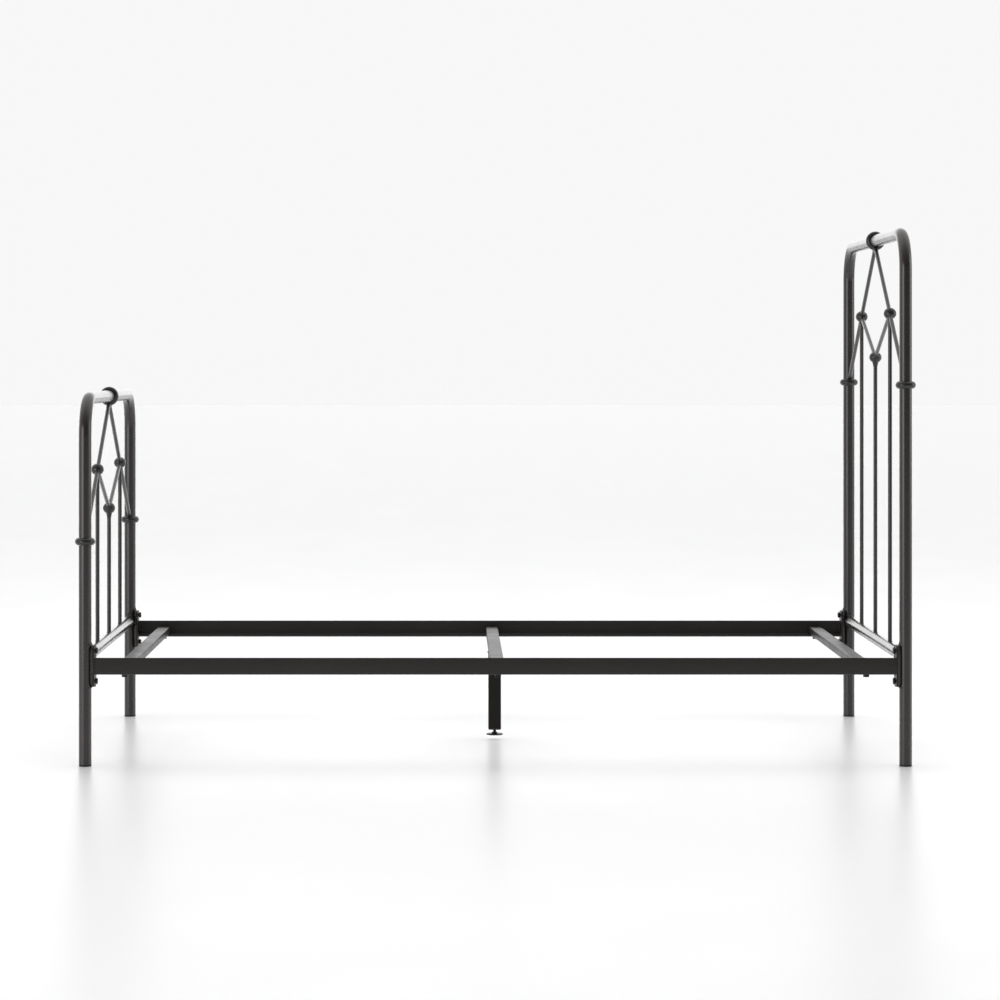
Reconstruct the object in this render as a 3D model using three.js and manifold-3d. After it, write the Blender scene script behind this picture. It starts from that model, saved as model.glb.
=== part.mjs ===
// Single metal bed frame: a hooped headboard and footboard of round tube and thin rods, bolted to
// two angle-iron side rails, with three cross slats and an adjustable centre leg.
// Millimetres. X runs along the bed (head end +X), Y across it (left side -Y), Z up from the floor.

import * as THREE from 'three';
import { mergeVertices } from 'three/addons/utils/BufferGeometryUtils.js';
import Module from 'manifold-3d';

const wasm = await Module();
wasm.setup();

// ---------------------------------------------------------------- driving dimensions
const GAP = 0.3;              // clearance kept between pieces that touch
const OVERLAP = 1;            // depth that two shapes joined into one piece share
const CUT_MARGIN = 2;         // how far a hole's cutter runs past the wall it opens
const EDGE = 1;               // chamfer on turned plastic and steel edges
const PANEL_X = 970;          // middle of the bed to the plane of each panel
const POST_Y = 500;           // middle of the bed to each post axis

const TUBE_R = 15;            // hoop and cross tube, 30 mm outside
const TUBE_WALL = 1.5;
const BEND_R = 90;            // centreline radius where a post turns into the top bar
const BEND_STEPS = 5;
const HEAD_BAR_Z = 1262;      // centreline heights of the top bars
const FOOT_BAR_Z = 869;
const CROSS_Z = 257;          // centreline height of the cross tubes

const COLLAR_R = 9;           // rounded section of the collars and top rings
const HEAD_COLLAR_Z = 901;
const FOOT_COLLAR_Z = 531;
const ROD_R = 5;              // 10 mm rods
const ROD_TOP_DROP = 16;      // top bar centreline down to where the two long rods aim
const SPINDLE_Y = 250;        // middle of the bed to the outer spindles
const KNUCKLE_R = 16;
const KNUCKLE_HALF_HEIGHT = 14.5;
const KNUCKLE_DROP = 106;     // outer knuckles down to the middle knuckle
const NECK_LENGTH = 12;       // funnel under the middle knuckle
const NECK_WALL = 2;          // metal round the spindle at the funnel's narrow end
const ROD_INSET = 10;         // from a knuckle's middle to the end of a rod in its socket
const RING_ROD_Y = 6;         // where the long rods end in the top ring
const COLLAR_ROD_Y = POST_Y - 19;   // where they end in the collars

const RAIL_LEG = 40;          // rolled angle 40 x 40 x 4
const RAIL_THICK = 4;
const RAIL_OUTER_Y = 512;
const RAIL_TOP_Z = 257;
const RAIL_BOTTOM_Z = RAIL_TOP_Z - RAIL_LEG;
const RAIL_LEDGE_Z = RAIL_BOTTOM_Z + RAIL_THICK;

const PLATE_WIDTH = 40;       // corner plates, bolted face to face
const PLATE_BOTTOM_Z = 187;
const PLATE_TOP_Z = 286;
const PLATE_MID_Y = 494;
const PLATE_THICK = 4;
const PLATE_CORNER_R = 12;
const CORNER_BOLT_Z = [201, 273];

const BOLT_R = 4;             // M8 bolts
const BOLT_HOLE_R = 4.4;
const BOLT_HEAD_R = 7.5;      // hexagon, 13 mm across flats
const BOLT_HEAD_HEIGHT = 6;
const BOLT_SHANK = 16;

const LEG_X = 6;              // the middle slat and centre leg stand a little towards the head
const SLAT_WIDTH = 32;        // slats, 32 x 20 tube
const SLAT_HEIGHT = 20;
const SLAT_WALL = 1.5;
const SLAT_X = [-878, LEG_X, 878];
const SLAT_HALF_LENGTH = 507.4;
const SLAT_BOLT_Y = 490;
const SLAT_BOLT_HEAD = 7;
const SLAT_BOLT_SHANK = 12;
const SLAT_BOTTOM_Z = RAIL_LEDGE_Z + GAP;

const LEG_WIDTH = 32;         // centre leg, 32 mm square tube
const LEG_WALL = 2;
const LEG_END_Z = 26;         // underside of the plug
const PLUG_FLANGE = 4;
const PLUG_DEPTH = 18;
const FOOT_DISC_R = 21;       // levelling foot
const FOOT_DISC_THICK = 3;
const FOOT_DISC_Z = 12.5;    // ten turns of the stud above the floor
const FOOT_HUB_R = 7.5;
const FOOT_HUB_HEIGHT = 4;
const FOOT_FLOOR = 1.5;       // disc left under the stud's socket
const STUD_R = 4;             // M8
const STUD_LENGTH = 58;

const GLIDE_HEIGHT = 3;       // visible part of the plastic glides under the posts
const GLIDE_STEM = 20;

const TUBE_SIDES = 16;
const ROD_SIDES = 8;
const KNUCKLE_SIDES = 10;
const KNUCKLE_ROWS = 7;
const FOOT_SIDES = 20;
const RING_STEPS = 6;         // facets across the rounded section of a ring

// ---------------------------------------------------------------- finishes
const paint = { color: 0x2c2a29, roughness: 0.38, metalness: 0.6 };
const castPaint = { color: 0x2a2725, roughness: 0.45, metalness: 0.5 };
const railPaint = { color: 0x302f30, roughness: 0.5, metalness: 0.5 };
const steel = { color: 0x3a3836, roughness: 0.42, metalness: 0.8 };
const plastic = { color: 0x1c1c1c, roughness: 0.7, metalness: 0 };

// ---------------------------------------------------------------- helpers
function solidOf(geometry) {
  const bare = geometry.clone();
  bare.deleteAttribute('normal');
  bare.deleteAttribute('uv');
  const merged = mergeVertices(bare, 1e-4);
  return new wasm.Manifold(new wasm.Mesh({
    numProp: 3,
    vertProperties: Float32Array.from(merged.attributes.position.array),
    triVerts: Uint32Array.from(merged.index.array),
  }));
}

function geometryOf(solid) {
  const mesh = solid.getMesh();
  const geometry = new THREE.BufferGeometry();
  geometry.setAttribute('position', new THREE.BufferAttribute(Float32Array.from(mesh.vertProperties), 3));
  geometry.setIndex(new THREE.BufferAttribute(Uint32Array.from(mesh.triVerts), 1));
  geometry.computeVertexNormals();
  return geometry;
}

function cut(geometry, cutters) {
  let solid = solidOf(geometry);
  for (const cutter of cutters) {
    solid = solid.subtract(solidOf(cutter));
  }
  return geometryOf(solid);
}

function join(geometries) {
  return geometryOf(geometries.map(solidOf).reduce((whole, next) => whole.add(next)));
}

function mesh(name, geometry, finish) {
  const piece = new THREE.Mesh(geometry, new THREE.MeshStandardMaterial(finish));
  piece.name = name;
  return piece;
}

function at(x, y, z) {
  return new THREE.Vector3(x, y, z);
}

// A straight round bar between two points.
function bar(from, to, radius, sides = ROD_SIDES) {
  const run = to.clone().sub(from);
  const geometry = new THREE.CylinderGeometry(radius, radius, run.length(), sides);
  const turn = new THREE.Quaternion().setFromUnitVectors(at(0, 1, 0), run.clone().normalize());
  geometry.applyQuaternion(turn);
  const middle = from.clone().add(to).multiplyScalar(0.5);
  return geometry.translate(middle.x, middle.y, middle.z);
}

function circle(radius) {
  return new THREE.Shape().absarc(0, 0, radius, 0, 2 * Math.PI, false);
}

function roundedRectangle(width, height, radius) {
  const x = width / 2 - radius;
  const y = height / 2 - radius;
  return new THREE.Shape()
    .absarc(x, y, radius, 0, Math.PI / 2, false)
    .absarc(-x, y, radius, Math.PI / 2, Math.PI, false)
    .absarc(-x, -y, radius, Math.PI, 1.5 * Math.PI, false)
    .absarc(x, -y, radius, 1.5 * Math.PI, 2 * Math.PI, false);
}

// Extrudes an outline by a length centred on its plane, then turns it so that the outline's x and y
// lie along the two given axes.
function extrude(shape, length, xAxis, yAxis, curveSegments) {
  const geometry = new THREE.ExtrudeGeometry(shape, { depth: length, bevelEnabled: false, curveSegments });
  geometry.translate(0, 0, -length / 2);
  const zAxis = xAxis.clone().cross(yAxis);
  return geometry.applyMatrix4(new THREE.Matrix4().makeBasis(xAxis, yAxis, zAxis));
}

function squareTube(width, height, wall, length, xAxis, yAxis) {
  const outline = roundedRectangle(width, height, 2 * wall);
  outline.holes.push(roundedRectangle(width - 2 * wall, height - 2 * wall, wall));
  return extrude(outline, length, xAxis, yAxis, 1);
}

const X_AXIS = at(1, 0, 0);
const Y_AXIS = at(0, 1, 0);
const Z_AXIS = at(0, 0, 1);

// A path through stations that each have their own tangent, so a straight run takes one step.
class StationPath extends THREE.Curve {
  constructor(stations) {
    super();
    this.stations = stations;
  }

  station(u) {
    return this.stations[Math.round(u * (this.stations.length - 1))];
  }

  getPoint(u) {
    return this.station(u).point.clone();
  }

  getPointAt(u) {
    return this.getPoint(u);
  }

  getTangentAt(u) {
    return this.station(u).tangent.clone();
  }
}

// ---------------------------------------------------------------- panels
// Both panels are the same design at two heights. Each is modelled in its own plane, X = 0.
function panelPlan(name, x, barZ, collarZ) {
  const rodTopZ = barZ - ROD_TOP_DROP;
  const outerKnuckleZ = rodTopZ + (collarZ - rodTopZ) * (SPINDLE_Y / POST_Y);
  return {
    name,
    x,
    inboard: -Math.sign(x),
    barZ,
    collarZ,
    outerKnuckleZ,
    middleKnuckleZ: outerKnuckleZ - KNUCKLE_DROP,
    rodSlope: (collarZ - rodTopZ) / POST_Y,
    rodTopZ,
  };
}

const SIDES = [{ side: 'left', sign: -1 }, { side: 'right', sign: 1 }];

function hoopStations(plan) {
  const stations = [{ point: at(0, -POST_Y, GLIDE_HEIGHT + GAP), tangent: at(0, 0, 1) }];
  for (let bend = 0; bend < 2; bend += 1) {
    const centreY = (bend === 0 ? -1 : 1) * (POST_Y - BEND_R);
    const start = bend === 0 ? Math.PI : Math.PI / 2;
    for (let step = 0; step <= BEND_STEPS; step += 1) {
      const angle = start - (step / BEND_STEPS) * (Math.PI / 2);
      stations.push({
        point: at(0, centreY + BEND_R * Math.cos(angle), plan.barZ - BEND_R + BEND_R * Math.sin(angle)),
        tangent: at(0, Math.sin(angle), -Math.cos(angle)),
      });
    }
  }
  stations.push({ point: at(0, POST_Y, GLIDE_HEIGHT + GAP), tangent: at(0, 0, -1) });
  return stations;
}

function hoop(plan) {
  const stations = hoopStations(plan);
  const section = circle(TUBE_R);
  section.holes.push(circle(TUBE_R - TUBE_WALL));
  const tube = new THREE.ExtrudeGeometry(section, {
    steps: stations.length - 1,
    extrudePath: new StationPath(stations),
    curveSegments: TUBE_SIDES / 2,
  });
  const holes = [];
  for (const { sign } of SIDES) {
    for (const z of CORNER_BOLT_Z) {
      const y = sign * POST_Y;
      holes.push(bar(at(0, y, z), at(plan.inboard * (TUBE_R + CUT_MARGIN), y, z), BOLT_HOLE_R));
    }
  }
  return cut(tube, holes);
}

// The cross tube is coped to fit round both posts.
function crossTube() {
  const section = circle(TUBE_R);
  section.holes.push(circle(TUBE_R - TUBE_WALL));
  const tube = extrude(section, 2 * POST_Y, Z_AXIS, X_AXIS, TUBE_SIDES / 2);
  tube.translate(0, 0, CROSS_Z);
  const posts = SIDES.map(({ sign }) => bar(
    at(0, sign * POST_Y, CROSS_Z - 2 * TUBE_R),
    at(0, sign * POST_Y, CROSS_Z + 2 * TUBE_R),
    TUBE_R + GAP,
    TUBE_SIDES,
  ));
  return cut(tube, posts);
}

// A rounded ring that closes round a tube, with its axis along Y.
function ring() {
  const bore = TUBE_R + GAP;
  const profile = [new THREE.Vector2(bore, -COLLAR_R)];
  for (let step = 1; step < RING_STEPS; step += 1) {
    const angle = (step / RING_STEPS - 0.5) * Math.PI;
    profile.push(new THREE.Vector2(TUBE_R + COLLAR_R * Math.cos(angle), COLLAR_R * Math.sin(angle)));
  }
  profile.push(new THREE.Vector2(bore, COLLAR_R));
  profile.push(profile[0].clone());
  return new THREE.LatheGeometry(profile, TUBE_SIDES);
}

// Points on a long rod, which runs straight from the top ring to the collar on a post.
function longRodPoint(plan, sign, y) {
  return at(0, sign * y, plan.rodTopZ + plan.rodSlope * y);
}

function longRod(plan, sign, extra = 0) {
  const from = longRodPoint(plan, sign, RING_ROD_Y - extra);
  const to = longRodPoint(plan, sign, COLLAR_ROD_Y + extra);
  return bar(from, to, ROD_R + extra);
}

// An inner rod falls from an outer knuckle to the middle knuckle.
function innerRod(plan, sign, extra = 0) {
  const outer = at(0, sign * SPINDLE_Y, plan.outerKnuckleZ);
  const middle = at(0, 0, plan.middleKnuckleZ);
  const inset = middle.clone().sub(outer).setLength(ROD_INSET - extra);
  return bar(outer.clone().add(inset), middle.clone().sub(inset), ROD_R + extra);
}

function spindle(y, knuckleZ, extra = 0) {
  const from = at(0, y, CROSS_Z + TUBE_R + GAP);
  const to = at(0, y, knuckleZ - ROD_INSET + extra);
  return bar(from, to, ROD_R + extra);
}

function topRing(plan) {
  const body = ring().translate(0, 0, plan.barZ);
  return cut(body, SIDES.map(({ sign }) => longRod(plan, sign, GAP)));
}

function collar(plan, sign) {
  const body = ring().rotateX(Math.PI / 2).translate(0, sign * POST_Y, plan.collarZ);
  return cut(body, [longRod(plan, sign, GAP)]);
}

function outerKnuckle(plan, sign) {
  const ball = new THREE.SphereGeometry(KNUCKLE_R, KNUCKLE_SIDES, KNUCKLE_ROWS);
  ball.scale(1, KNUCKLE_HALF_HEIGHT / KNUCKLE_R, 1);
  ball.rotateX(Math.PI / 2);
  ball.translate(0, sign * SPINDLE_Y, plan.outerKnuckleZ);
  return cut(ball, [
    longRod(plan, sign, GAP),
    innerRod(plan, sign, GAP),
    spindle(sign * SPINDLE_Y, plan.outerKnuckleZ, GAP),
  ]);
}

// The middle knuckle narrows in a funnel to its spindle.
function middleKnuckle(plan) {
  const bottom = -KNUCKLE_HALF_HEIGHT - NECK_LENGTH;
  const profile = [new THREE.Vector2(0, bottom), new THREE.Vector2(ROD_R + NECK_WALL, bottom)];
  const funnelAngle = -Math.PI / 3;
  const rows = KNUCKLE_ROWS - 2;
  for (let row = 0; row < rows; row += 1) {
    const angle = funnelAngle + (row / rows) * (Math.PI / 2 - funnelAngle);
    profile.push(new THREE.Vector2(KNUCKLE_R * Math.cos(angle), KNUCKLE_HALF_HEIGHT * Math.sin(angle)));
  }
  profile.push(new THREE.Vector2(0, KNUCKLE_HALF_HEIGHT));
  const body = new THREE.LatheGeometry(profile, KNUCKLE_SIDES).rotateX(Math.PI / 2);
  body.translate(0, 0, plan.middleKnuckleZ);
  return cut(body, [
    innerRod(plan, -1, GAP),
    innerRod(plan, 1, GAP),
    spindle(0, plan.middleKnuckleZ, GAP),
  ]);
}

// A plastic plug with a flange, pressed into the open end of a post.
function glide() {
  const stemR = TUBE_R - TUBE_WALL - GAP;
  const profile = [
    new THREE.Vector2(0, 0),
    new THREE.Vector2(TUBE_R - EDGE, 0),
    new THREE.Vector2(TUBE_R, EDGE),
    new THREE.Vector2(TUBE_R, GLIDE_HEIGHT),
    new THREE.Vector2(stemR, GLIDE_HEIGHT),
    new THREE.Vector2(stemR, GLIDE_HEIGHT + GLIDE_STEM),
    new THREE.Vector2(0, GLIDE_HEIGHT + GLIDE_STEM),
  ];
  return new THREE.LatheGeometry(profile, TUBE_SIDES).rotateX(Math.PI / 2);
}

// ---------------------------------------------------------------- corner joints
const BRACKET_FACE_X = TUBE_R + GAP;                  // from the post axis to the welded plate
const BRACKET_BACK_X = BRACKET_FACE_X + PLATE_THICK;
const RAIL_PLATE_X = BRACKET_BACK_X + GAP;            // from the post axis to the rail's plate
const RAIL_HALF_LENGTH = PANEL_X - RAIL_PLATE_X - PLATE_THICK;

// A corner plate with two bolt holes, standing across the bed at a given distance along X.
function cornerPlate(middleX, sign) {
  const outline = roundedRectangle(PLATE_WIDTH, PLATE_TOP_Z - PLATE_BOTTOM_Z, PLATE_CORNER_R);
  const plate = extrude(outline, PLATE_THICK, Y_AXIS, Z_AXIS, 2);
  plate.translate(middleX, sign * PLATE_MID_Y, (PLATE_TOP_Z + PLATE_BOTTOM_Z) / 2);
  return plate;
}

function boltHoles(middleX, sign) {
  return CORNER_BOLT_Z.map((z) => bar(
    at(middleX - PLATE_THICK, sign * POST_Y, z),
    at(middleX + PLATE_THICK, sign * POST_Y, z),
    BOLT_HOLE_R,
  ));
}

function railBracket(plan, sign) {
  const middleX = plan.inboard * (BRACKET_FACE_X + PLATE_THICK / 2);
  return cut(cornerPlate(middleX, sign), boltHoles(middleX, sign));
}

// A hexagon bolt: the head's flat face is at the origin and the shank points along +Y.
function hexBolt(headHeight, shankLength) {
  const head = bar(at(0, -headHeight, 0), at(0, 0, 0), BOLT_HEAD_R, 6);
  const shank = bar(at(0, -OVERLAP, 0), at(0, shankLength, 0), BOLT_R);
  return join([head, shank]);
}

function cornerBolt(plan, sign, z) {
  const bolt = hexBolt(BOLT_HEAD_HEIGHT, BOLT_SHANK);
  bolt.rotateZ(plan.inboard * Math.PI / 2);
  const headX = plan.inboard * (RAIL_PLATE_X + PLATE_THICK + GAP);
  return bolt.translate(headX, sign * POST_Y, z);
}

// ---------------------------------------------------------------- one whole panel
function panel(plan) {
  const group = new THREE.Group();
  group.position.x = plan.x;
  const add = (part, geometry, finish) => {
    const piece = mesh(`${plan.name}_${part}`, geometry, finish);
    group.add(piece);
    return piece;
  };
  add('hoop_tube', hoop(plan), paint);
  add('cross_tube', crossTube(), paint);
  add('top_ring', topRing(plan), castPaint);
  add('middle_knuckle', middleKnuckle(plan), castPaint);
  add('middle_spindle', spindle(0, plan.middleKnuckleZ), paint);
  for (const { side, sign } of SIDES) {
    add(`${side}_collar`, collar(plan, sign), castPaint);
    add(`${side}_knuckle`, outerKnuckle(plan, sign), castPaint);
    add(`${side}_long_rod`, longRod(plan, sign), paint);
    add(`${side}_inner_rod`, innerRod(plan, sign), paint);
    add(`${side}_spindle`, spindle(sign * SPINDLE_Y, plan.outerKnuckleZ), paint);
    add(`${side}_rail_bracket`, railBracket(plan, sign), paint);
    add(`${side}_glide`, glide(), plastic).position.y = sign * POST_Y;
    add(`${side}_lower_bolt`, cornerBolt(plan, sign, CORNER_BOLT_Z[0]), steel);
    add(`${side}_upper_bolt`, cornerBolt(plan, sign, CORNER_BOLT_Z[1]), steel);
  }
  return group;
}

// ---------------------------------------------------------------- side rails and slats
// A rail is a rolled angle, one leg upright outside and one leg inward below, with a plate welded
// across each end.
function sideRail(sign) {
  const outer = sign * RAIL_OUTER_Y;
  const web = sign * (RAIL_OUTER_Y - RAIL_THICK);
  const toe = sign * (RAIL_OUTER_Y - RAIL_LEG);
  const outline = new THREE.Shape([
    new THREE.Vector2(outer, RAIL_BOTTOM_Z),
    new THREE.Vector2(outer, RAIL_TOP_Z),
    new THREE.Vector2(web, RAIL_TOP_Z),
    new THREE.Vector2(web, RAIL_LEDGE_Z),
    new THREE.Vector2(toe, RAIL_LEDGE_Z),
    new THREE.Vector2(toe, RAIL_BOTTOM_Z),
  ]);
  const angle = extrude(outline, 2 * (RAIL_HALF_LENGTH + OVERLAP), Y_AXIS, Z_AXIS, 1);
  const plateX = RAIL_HALF_LENGTH + PLATE_THICK / 2;
  const body = join([angle, cornerPlate(-plateX, sign), cornerPlate(plateX, sign)]);
  const holes = [...boltHoles(-plateX, sign), ...boltHoles(plateX, sign)];
  for (const x of SLAT_X) {
    const y = sign * SLAT_BOLT_Y;
    holes.push(bar(at(x, y, RAIL_BOTTOM_Z - CUT_MARGIN), at(x, y, RAIL_LEDGE_Z + CUT_MARGIN), BOLT_HOLE_R));
  }
  return cut(body, holes);
}

function slatTube(x) {
  const tube = squareTube(SLAT_WIDTH, SLAT_HEIGHT, SLAT_WALL, 2 * SLAT_HALF_LENGTH, X_AXIS, Z_AXIS);
  return tube.translate(x, 0, SLAT_BOTTOM_Z + SLAT_HEIGHT / 2);
}

function slatHoles(x) {
  return SIDES.map(({ sign }) => bar(
    at(x, sign * SLAT_BOLT_Y, SLAT_BOTTOM_Z - CUT_MARGIN),
    at(x, sign * SLAT_BOLT_Y, SLAT_BOTTOM_Z + SLAT_WALL + CUT_MARGIN),
    BOLT_HOLE_R,
  ));
}

function endSlat(x) {
  return cut(slatTube(x), slatHoles(x));
}

// The middle slat has the centre leg welded under it. Like the leg's foot, it is modelled at X = 0.
function middleSlatWithLeg() {
  const legBottom = LEG_END_Z + PLUG_FLANGE;
  const legTop = SLAT_BOTTOM_Z + SLAT_WALL / 2;
  const leg = squareTube(LEG_WIDTH, LEG_WIDTH, LEG_WALL, legTop - legBottom, X_AXIS, Y_AXIS);
  leg.translate(0, 0, (legTop + legBottom) / 2);
  return cut(join([slatTube(0), leg]), slatHoles(0));
}

function slatBolt(x, sign) {
  const bolt = hexBolt(SLAT_BOLT_HEAD, SLAT_BOLT_SHANK).rotateX(Math.PI / 2);
  return bolt.translate(x, sign * SLAT_BOLT_Y, RAIL_BOTTOM_Z - GAP);
}

// ---------------------------------------------------------------- centre leg's foot
function legPlug() {
  const flangeTop = LEG_END_Z + PLUG_FLANGE - GAP;
  const stemTop = flangeTop + PLUG_DEPTH;
  const block = (width, radius, from, to) => extrude(
    roundedRectangle(width, width, radius), to - from, X_AXIS, Y_AXIS, 1,
  ).translate(0, 0, (from + to) / 2);
  const flange = block(LEG_WIDTH, 2 * LEG_WALL, LEG_END_Z, flangeTop);
  const stem = block(LEG_WIDTH - 2 * (LEG_WALL + GAP), LEG_WALL, flangeTop - OVERLAP, stemTop);
  const bore = bar(at(0, 0, LEG_END_Z - CUT_MARGIN), at(0, 0, stemTop + CUT_MARGIN), STUD_R + GAP);
  return cut(join([flange, stem]), [bore]);
}

// A round base with a hub that holds the lower end of the stud.
function footDisc() {
  const top = FOOT_DISC_Z + FOOT_DISC_THICK;
  const hubTop = top + FOOT_HUB_HEIGHT;
  const socketZ = FOOT_DISC_Z + FOOT_FLOOR;
  const profile = [
    new THREE.Vector2(0, FOOT_DISC_Z),
    new THREE.Vector2(FOOT_DISC_R - EDGE, FOOT_DISC_Z),
    new THREE.Vector2(FOOT_DISC_R, FOOT_DISC_Z + EDGE),
    new THREE.Vector2(FOOT_DISC_R - EDGE / 2, top),
    new THREE.Vector2(FOOT_HUB_R + EDGE, top),
    new THREE.Vector2(FOOT_HUB_R, hubTop),
    new THREE.Vector2(STUD_R + GAP, hubTop),
    new THREE.Vector2(STUD_R + GAP, socketZ),
    new THREE.Vector2(0, socketZ),
  ];
  return new THREE.LatheGeometry(profile, FOOT_SIDES).rotateX(Math.PI / 2);
}

function levellingStud() {
  const bottom = FOOT_DISC_Z + FOOT_FLOOR + GAP;
  return bar(at(0, 0, bottom), at(0, 0, bottom + STUD_LENGTH), STUD_R);
}

// ---------------------------------------------------------------- assembly
const bed = new THREE.Group();
bed.add(panel(panelPlan('head', PANEL_X, HEAD_BAR_Z, HEAD_COLLAR_Z)));
bed.add(panel(panelPlan('foot', -PANEL_X, FOOT_BAR_Z, FOOT_COLLAR_Z)));

const SLAT_NAMES = ['foot_end', 'middle', 'head_end'];
for (const { side, sign } of SIDES) {
  bed.add(mesh(`${side}_side_rail`, sideRail(sign), railPaint));
  SLAT_X.forEach((x, index) => {
    bed.add(mesh(`${SLAT_NAMES[index]}_${side}_slat_bolt`, slatBolt(x, sign), steel));
  });
}
bed.add(mesh('foot_end_slat', endSlat(SLAT_X[0]), railPaint));
bed.add(mesh('head_end_slat', endSlat(SLAT_X[2]), railPaint));

const centre = new THREE.Group();
centre.position.x = LEG_X;
centre.add(mesh('middle_slat_with_leg', middleSlatWithLeg(), railPaint));
centre.add(mesh('centre_leg_plug', legPlug(), plastic));
centre.add(mesh('levelling_stud', levellingStud(), steel));
centre.add(mesh('levelling_foot', footDisc(), steel));
bed.add(centre);

export default bed;
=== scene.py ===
"""Looks for a metal bed frame: satin black enamel tube, cast knuckles and rings, bolted angle rails."""
import math

import bmesh
import bpy
from mathutils import Matrix, Vector, noise


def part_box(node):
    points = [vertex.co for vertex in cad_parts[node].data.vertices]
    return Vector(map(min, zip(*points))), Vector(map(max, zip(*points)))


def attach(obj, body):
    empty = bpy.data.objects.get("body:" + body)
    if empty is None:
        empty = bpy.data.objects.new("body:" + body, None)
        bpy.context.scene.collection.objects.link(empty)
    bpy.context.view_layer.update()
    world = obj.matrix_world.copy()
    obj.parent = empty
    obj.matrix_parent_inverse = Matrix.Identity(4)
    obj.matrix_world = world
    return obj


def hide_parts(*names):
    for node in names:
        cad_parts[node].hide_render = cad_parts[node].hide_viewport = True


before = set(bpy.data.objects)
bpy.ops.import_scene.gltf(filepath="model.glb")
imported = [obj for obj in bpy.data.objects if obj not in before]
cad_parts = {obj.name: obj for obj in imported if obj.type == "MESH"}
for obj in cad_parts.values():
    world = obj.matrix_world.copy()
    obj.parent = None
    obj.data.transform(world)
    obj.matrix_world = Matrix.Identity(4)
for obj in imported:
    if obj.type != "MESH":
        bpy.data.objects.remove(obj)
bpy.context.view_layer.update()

MM = 0.001
X = Vector((1, 0, 0))
Y = Vector((0, 1, 0))
Z = Vector((0, 0, 1))

# Sizes that no node's box gives, as in the CAD model.
BEND_R = 90 * MM
ROD_R = 5 * MM
KNUCKLE_HALF_HEIGHT = 14.5 * MM
NECK_LENGTH = 12 * MM
RAIL_OUTER_Y = 512 * MM
RAIL_WIDTH = 40 * MM
RAIL_BOTTOM_Z = 217 * MM
RAIL_THICK = 4 * MM
SLAT_WALL = 1.5 * MM
LEG_WALL = 2 * MM
PLATE_CORNER_R = 12 * MM
CORNER_BOLT_HEAD = 6 * MM
SLAT_BOLT_HEAD = 7 * MM
BOLT_HEAD_R = 7.5 * MM
BOLT_SHANK_R = 4 * MM
THREAD_PITCH = 1.25 * MM

# Details that only the visual model has.
END_EASE = 0.4 * MM             # rounding of the cut ends of tubes and rods
PLATE_EASE = 0.8 * MM           # rounding of the plates' edges
ROD_INSET = 8 * MM              # from a knuckle's middle to the end of a rod inside it
TOP_ROD_Y = 7 * MM              # from the middle of the top ring to the ends of the long rods
COLLAR_ROD_INSET = 19 * MM      # from a post's axis back to the end of its long rod
SPINDLE_SINK = 2 * MM           # how far a spindle runs into the cross tube
NECK_FLARE = 3.5 * MM           # how much thicker than its rod a cast neck is at its root
FUNNEL_FLARE = 5.5 * MM         # the same for the middle knuckle's funnel
NECK_TAPER = 0.4 * MM           # how far inside the rod's skin a neck's far end is
NECK_REACH = 5 * MM             # how far a neck runs beyond its ball
RING_BOSS_R = 8.5 * MM          # boss under a top ring, where the long rods cross
RING_BOSS_HALF_HEIGHT = 12.5 * MM
RING_BOSS_REACH = 24 * MM
CAST_VOXEL = 0.8 * MM           # grain of the castings' remesh
CAST_SMOOTHING = 5
SHARP_ANGLE = math.radians(38)  # edges that turn by more than this are drawn sharp

TUBE_SIDES = 64
ROD_SIDES = 32
SIDES = (("left", -1), ("right", 1))


# ---------------------------------------------------------------- frame positions
def middle(node):
    low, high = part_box(node)
    return (low + high) / 2


def panel_plan(name):
    """Where one panel's pieces are, read from the boxes of its nodes."""
    low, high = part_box(f"{name}_hoop_tube")
    radius = (high.x - low.x) / 2
    plan = {
        "name": name,
        "x": (low.x + high.x) / 2,
        "radius": radius,
        "post_y": high.y - radius,
        "bar_z": high.z - radius,
        "leg_z": low.z,
        "cross_z": middle(f"{name}_cross_tube").z,
        "collar_z": middle(f"{name}_left_collar").z,
        "knuckle_y": middle(f"{name}_right_knuckle").y,
        "knuckle_z": middle(f"{name}_right_knuckle").z,
    }
    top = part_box(f"{name}_middle_knuckle")[1].z
    ball_low, ball_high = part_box(f"{name}_right_knuckle")
    plan["ball_r"] = (ball_high.x - ball_low.x) / 2
    plan["middle_z"] = top - KNUCKLE_HALF_HEIGHT
    plan["inboard"] = -math.copysign(1, plan["x"])
    return plan


# ---------------------------------------------------------------- mesh helpers
def piece(name, mesh_data, body, material, stands_for=()):
    """A finished object: smooth where it is round, sharp at real edges, riding on its body."""
    obj = bpy.data.objects.new(name, mesh_data)
    bpy.context.scene.collection.objects.link(obj)
    mesh_data.polygons.foreach_set("use_smooth", [True] * len(mesh_data.polygons))
    mesh_data.set_sharp_from_angle(angle=SHARP_ANGLE)
    mesh_data.materials.append(material)
    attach(obj, body)
    if stands_for:
        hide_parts(*stands_for)


def mesh_from(name, verts, faces):
    """A mesh whose faces all look outward."""
    data = bpy.data.meshes.new(name)
    data.from_pydata([tuple(v) for v in verts], [], faces)
    bm = bmesh.new()
    bm.from_mesh(data)
    bmesh.ops.recalc_face_normals(bm, faces=bm.faces)
    bm.to_mesh(data)
    bm.free()
    return data


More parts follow.
